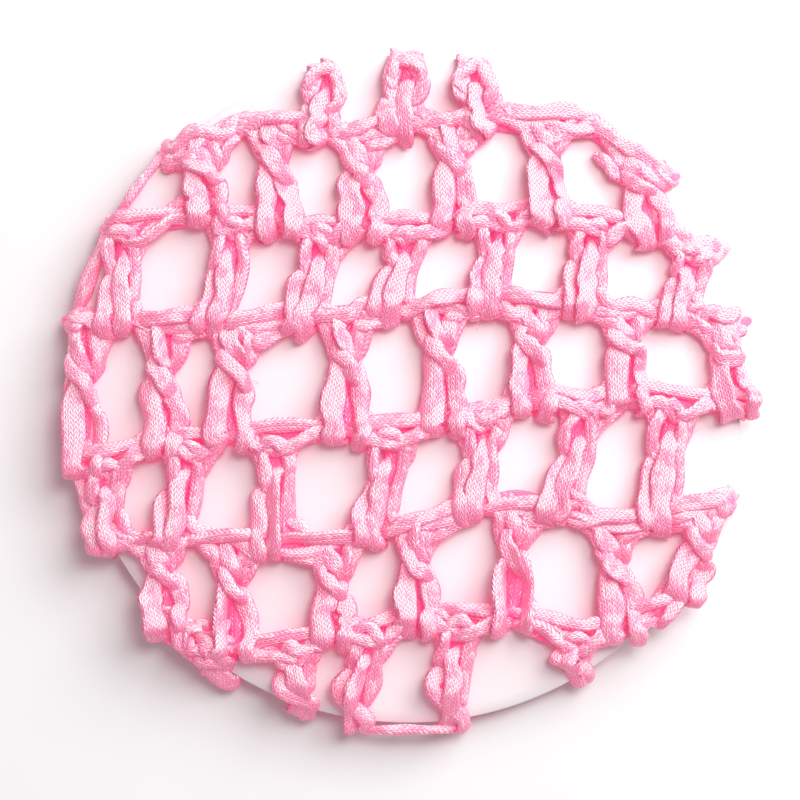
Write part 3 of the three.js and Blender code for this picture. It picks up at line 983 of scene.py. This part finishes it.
# The net, in pieces: one for each bar, one for each row of posts, the edge strands and the fuzz.
def buildNet(tree, material):
    strandSets = []
    for bar in range(len(barChart)):
        strands = StrandSet("bar_%d" % (bar + 1), 100 + bar)
        addBar(strands, bar)
        strandSets.append(strands)
    for row, chart in enumerate(postChart):
        strands = StrandSet("post_row_%d" % (row + 2), 200 + row)
        for head, foot in zip(chart["heads"], chart["feet"]):
            addPost(strands, chart["face"], onBar(row, head), onBar(row + 1, foot))
        strandSets.append(strands)
    strands = StrandSet("post_row_1", 300)
    for x, degrees in topPosts:
        addPost(strands, "back", onRim(degrees), onBar(0, x), headRim=degrees)
    strandSets.append(strands)
    strands = StrandSet("post_row_7", 301)
    last = len(barChart) - 1
    for x, degrees in bottomPosts:
        addPost(strands, "back", onBar(last, x), onRim(degrees), footRim=degrees)
    strandSets.append(strands)
    strands = StrandSet("edge_strands", 302)
    for start, end, width in edgeStrands:
        addEdgeStrand(strands, start, end, width)
    strandSets.append(strands)
    pieces = [sweep(strands, tree, material) for strands in strandSets]
    fuzz = StrandSet("stray_fibres", 303)
    addFuzz(fuzz, strandSets)
    pieces.append(sweep(fuzz, tree, material, sides=fuzzLook["sides"]))
    return pieces


cardShape = {
    "rounding": 0.18,
    "rings": [0.0, 0.2, 0.4, 0.6, 0.75, 0.88, 0.96],    # shares of the radius
    "sides": 160,
}


# The card: a disc with a softened edge, bowed like the CAD solid that it stands for.
def buildCard(material):
    rounding, sides = cardShape["rounding"], cardShape["sides"]
    upper = [(share * cardRadius, cardTop(share * cardRadius)) for share in cardShape["rings"]]
    upper.append((cardRadius - rounding, cardEdgeTop))
    lower = [(r, z - cardThickness) for r, z in upper]
    edge = [(cardRadius, cardEdgeTop - rounding), (cardRadius, cardUnderside + rounding)]
    profile = upper + edge + lower[::-1]
    vertices, faces = [], []
    for r, z in profile[1:-1]:
        for k in range(sides):
            angle = 2 * math.pi * k / sides
            vertices.append(((cardX + r * math.cos(angle)) * mm,
                             (cardY + r * math.sin(angle)) * mm, z * mm))
    top = len(vertices)
    vertices.append((cardX * mm, cardY * mm, profile[0][1] * mm))
    vertices.append((cardX * mm, cardY * mm, profile[-1][1] * mm))
    rows = len(profile) - 2
    for k in range(sides):
        n = (k + 1) % sides
        faces.append((top, k, n))
        faces.append((top + 1, (rows - 1) * sides + n, (rows - 1) * sides + k))
        for row in range(rows - 1):
            a, b = row * sides, (row + 1) * sides
            faces.append((a + k, b + k, b + n, a + n))
    mesh = bpy.data.meshes.new("round_card")
    mesh.from_pydata(vertices, [], faces)
    mesh.shade_smooth()
    mesh.materials.append(material)
    card = bpy.data.objects.new("round_card", mesh)
    bpy.context.collection.objects.link(card)
    if signedVolume(mesh) < 0:
        mesh.flip_normals()
    return card


elasticBraid = {
    "strands": 8,
    "turns": 46,
    "stepsInTurn": 10,
    "coreSteps": 180,
    "coreShare": 0.78,         # of the elastic's thickness
    "windShare": 0.86,
    "overAndUnder": 0.05,
    "strandWidth": 0.44,
    "strandDepth": 0.16,
    "strandCurl": 0.1,
    "sides": 6,
}


# Strands wound both ways round the elastic's core, which pass over and under each other.
def buildElastic(tree, material):
    braid = elasticBraid
    strands = StrandSet("elastic_braid", 400)
    steps = braid["turns"] * braid["stepsInTurn"]
    core = elasticThickness * braid["coreShare"]
    for i in range(braid["coreSteps"] + 1):
        around = 2 * math.pi * i / braid["coreSteps"]
        out = Vector((math.cos(around), math.sin(around), 0))
        place = out * elasticRing + Vector((cardX, cardY + elasticDrop, elasticHeight))
        # The core lies under the braid and takes the inner strands' painted shade.
        strands.lay(place, core, core, out, 0.0, innerShade, i == 0)
    for n in range(braid["strands"]):
        hand = 1 if n % 2 else -1
        phase = 2 * math.pi * (n // 2) / (braid["strands"] / 2)
        for i in range(steps + 1):
            around = 2 * math.pi * i / steps
            wind = hand * braid["turns"] * around + phase
            over = math.sin(braid["strands"] / 2 * (wind - phase) + hand * math.pi / 2)
            radius = elasticThickness / 2 * braid["windShare"] + braid["overAndUnder"] * over
            r = elasticRing + radius * math.cos(wind)
            out = Vector((math.cos(around) * math.cos(wind), math.sin(around) * math.cos(wind),
                          math.sin(wind)))
            place = Vector((r * math.cos(around), r * math.sin(around) + elasticDrop,
                            elasticHeight + radius * math.sin(wind)))
            strands.lay(place + Vector((cardX, cardY, 0)), braid["strandWidth"],
                        braid["strandDepth"], out, braid["strandCurl"], 0.0, i == 0)
    return sweep(strands, tree, material, sides=braid["sides"])


floorLook = {"half": 1.5, "colour": (0.87, 0.9, 0.89, 1), "roughness": 0.8}


def buildStage():
    floor = bpy.data.meshes.new("floor")
    half = floorLook["half"]
    floor.from_pydata([(-half, -half, 0), (half, -half, 0), (half, half, 0), (-half, half, 0)], [],
                      [(0, 1, 2, 3)])
    material, g = newMaterial("paleFloor")
    finishMaterial(g, g.node("ShaderNodeBsdfPrincipled", inputs={
        "Base Color": floorLook["colour"],
        "Roughness": floorLook["roughness"],
    }))
    floor.materials.append(material)
    plane = bpy.data.objects.new("floor", floor)
    bpy.context.collection.objects.link(plane)


# The world is a white tent. The key stands at the upper right, and the top light by the camera.
lightSetup = {
    "sky": 0.38,
    "skyColour": (1.0, 0.84, 0.89, 1),
    "lamps": {
        "key": {"power": 5.2, "size": 0.60, "from": (0.42, 0.40, 0.50)},
        "top": {"power": 1.3, "size": 0.20, "from": (0.12, 0.16, 0.58)},
    },
}


def buildLight():
    world = bpy.data.worlds.new("studio")
    bpy.context.scene.world = world
    world.use_nodes = True
    world.node_tree.nodes["Background"].inputs["Color"].default_value = lightSetup["skyColour"]
    world.node_tree.nodes["Background"].inputs["Strength"].default_value = lightSetup["sky"]
    for name, setup in lightSetup["lamps"].items():
        lamp = bpy.data.lights.new(name, "AREA")
        lamp.shape = "DISK"
        lamp.size = setup["size"]
        lamp.energy = setup["power"]
        stand = bpy.data.objects.new(name, lamp)
        stand.location = setup["from"]
        stand.rotation_euler = (-Vector(setup["from"])).to_track_quat("-Z", "Y").to_euler()
        bpy.context.collection.objects.link(stand)


def buildCamera():
    setup = cameraSetup
    camera = bpy.data.cameras.new("camera")
    camera.lens = setup["lens"]
    camera.sensor_width = setup["sensor"]
    distance = setup["pictureWidth"] * setup["lens"] / setup["sensor"]
    eye = bpy.data.objects.new("camera", camera)
    eye.location = ((cardX + setup["aimX"]) * mm, (cardY + setup["aimY"]) * mm,
                    (cardEdgeTop + distance) * mm)
    camera.clip_start = 0.01
    camera.clip_end = 10
    bpy.context.collection.objects.link(eye)
    bpy.context.scene.camera = eye


buildCamera()
print("camera set")
bpy.context.scene.view_settings.view_transform = "Standard"
ribbon = ribbonMaterial()
tree = tapeTree()
netPieces = buildNet(tree, ribbon)
print("net worked:", sum(len(p.data.polygons) for p in netPieces), "faces")
card = buildCard(cardMaterial())
elastic = buildElastic(tree, ribbon)
print("card and elastic made:", len(elastic.data.polygons), "faces of elastic")
buildStage()
buildLight()

for piece in netPieces:
    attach(piece, "root")
    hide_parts("crochet_net")
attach(card, "root")
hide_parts("display_card")
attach(elastic, "root")
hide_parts("rim_elastic")
